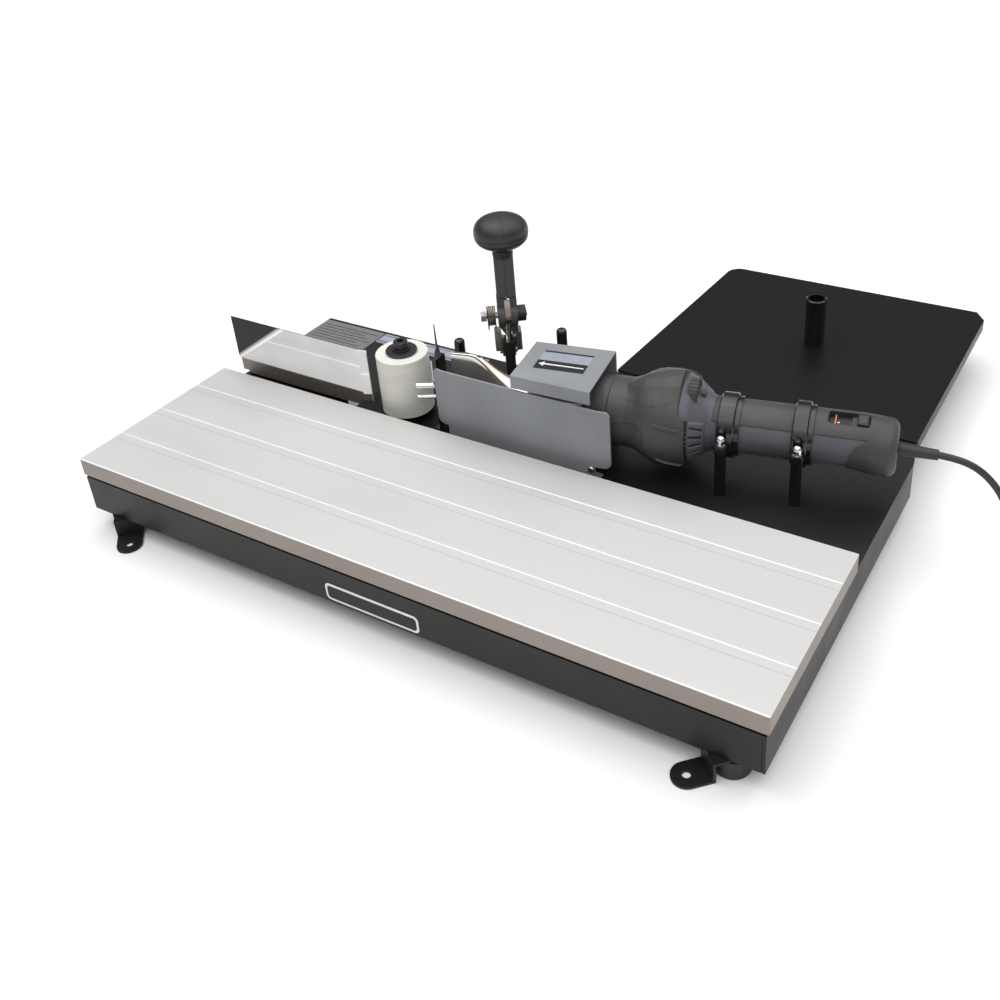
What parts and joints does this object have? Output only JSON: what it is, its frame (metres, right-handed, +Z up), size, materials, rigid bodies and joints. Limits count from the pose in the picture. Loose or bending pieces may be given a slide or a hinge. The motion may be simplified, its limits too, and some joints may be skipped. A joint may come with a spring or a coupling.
{
  "type": "bench-top hot-air edge bander",
  "caption": "Bench-top hot-air edge bander with an aluminium table, fences, a pressure roller, a lever tape cutter, a clamped hot-air gun and a rear plate for the tape roll.",
  "frame": {"origin": "on the floor under the middle of the machine's box, cord left out", "axes": "+Z up, +X to the operator's right along the table, +Y from the table to the rear plate"},
  "size_m": [1.1525, 0.912, 0.3445],
  "materials": {
    "frame_coat": "semi-gloss powder coat",
    "plate_coat": "fine textured powder coat",
    "zinc_steel": "zinc plated",
    "table_aluminium": "brushed, lightly worn",
    "rubber_black": "moulded",
    "polished_steel": "mirror polished",
    "grey_paint": "satin",
    "bright_plating": "bright",
    "brass_screw": "satin",
    "duct_steel": "polished, heat tinted",
    "machined_steel": "machined",
    "roller_ivory": "satin",
    "black_oxide": "black oxide",
    "black_gloss": "gloss",
    "blade_steel": "ground",
    "lever_paint": "satin",
    "knob_black": "satin",
    "spring_steel": "oiled",
    "ceramic": "matte",
    "gun_charcoal": "fine moulded texture",
    "gun_grey": "fine moulded texture",
    "cord_rubber": "satin"
  },
  "bodies": {
    "root": {"air_duct": "duct_steel", "base_frame": "frame_coat", "clamp_bands": "black_gloss", "clamp_bolts": "bright_plating", "clamp_posts": "black_gloss", "cord_coil": "cord_rubber", "cutter_base": "black_oxide", "cutter_side_blocks": "machined_steel", "cutter_studs": "bright_plating", "cutter_upright": "machined_steel", "duct_clamp_screw": "brass_screw", "extension_plate": "plate_coat", "fence_screw": "bright_plating", "foot_bolts": "zinc_steel", "foot_brackets": "frame_coat", "gun_front_housing": "gun_charcoal", "gun_handle_body": "gun_grey", "gun_handle_top": "gun_charcoal", "gun_heat_tube": "duct_steel", "gun_heating_element": "ceramic", "gun_motor": "machined_steel", "gun_nose_cap": "gun_charcoal", "gun_rear_cap": "gun_charcoal", "gun_switch_block": "gun_charcoal", "gun_vent_cone": "gun_grey", "heat_cover": "grey_paint", "infeed_fence": "grey_paint", "lever_pivot_bolt": "machined_steel", "lever_pivot_nut": "black_oxide", "lever_spring": "spring_steel", "m5_screws": "zinc_steel", "m8_nuts": "zinc_steel", "outfeed_guide": "polished_steel", "plate_bolts": "zinc_steel", "plug": "cord_rubber", "power_cord": "cord_rubber", "roller_base_plate": "plate_coat", "roller_bolt": "black_oxide", "roller_spindle": "machined_steel", "roller_washer": "black_oxide", "rubber_feet": "rubber_black", "spool_post": "black_gloss", "strain_relief": "cord_rubber", "table_bolts": "zinc_steel", "table_end_strips": "table_aluminium", "table_spacers": "table_aluminium", "tape_guide_blade": "machined_steel", "tape_guide_bracket": "black_gloss", "tape_guide_pins": "bright_plating", "tape_guide_strip": "bright_plating", "tape_posts": "black_gloss", "work_table": "table_aluminium"},
    "roller": {"pressure_roller": "roller_ivory", "roller_bearings": "machined_steel"},
    "lever": {"lever_arm": "lever_paint", "lever_knob": "knob_black", "cutter_blade": "blade_steel"},
    "switch": {"gun_switch": "gun_charcoal"},
    "dial": {"gun_dial": "gun_charcoal"},
    "fan": {"gun_fan": "gun_charcoal"}
  },
  "joints": [
    {"name": "roller_spin", "type": "hinge", "parent": "root", "child": "roller", "pos_m": [-0.1685, -0.12699, 0.126], "axis": [0, 0, 1], "continuous": true},
    {"name": "lever_swing", "type": "hinge", "parent": "root", "child": "lever", "pos_m": [-0.055, -0.04699, 0.2075], "axis": [0.7934, 0.6088, 0], "range_deg": [0, 35], "stiffness_Nm_per_rad": 0.8, "springref_deg": -20.05},
    {"name": "switch_slide", "type": "slide", "parent": "root", "child": "switch", "axis": [-0.9769, -0.2137, 0], "range_m": [0, 0.016]},
    {"name": "dial_turn", "type": "hinge", "parent": "root", "child": "dial", "pos_m": [0.22544, -0.08521, 0.18468], "axis": [0.9769, 0.2137, 0], "range_deg": [0, 270]},
    {"name": "fan_spin", "type": "hinge", "parent": "root", "child": "fan", "pos_m": [0.23185, -0.07708, 0.1432], "axis": [0.9769, 0.2137, 0], "continuous": true}
  ]
}
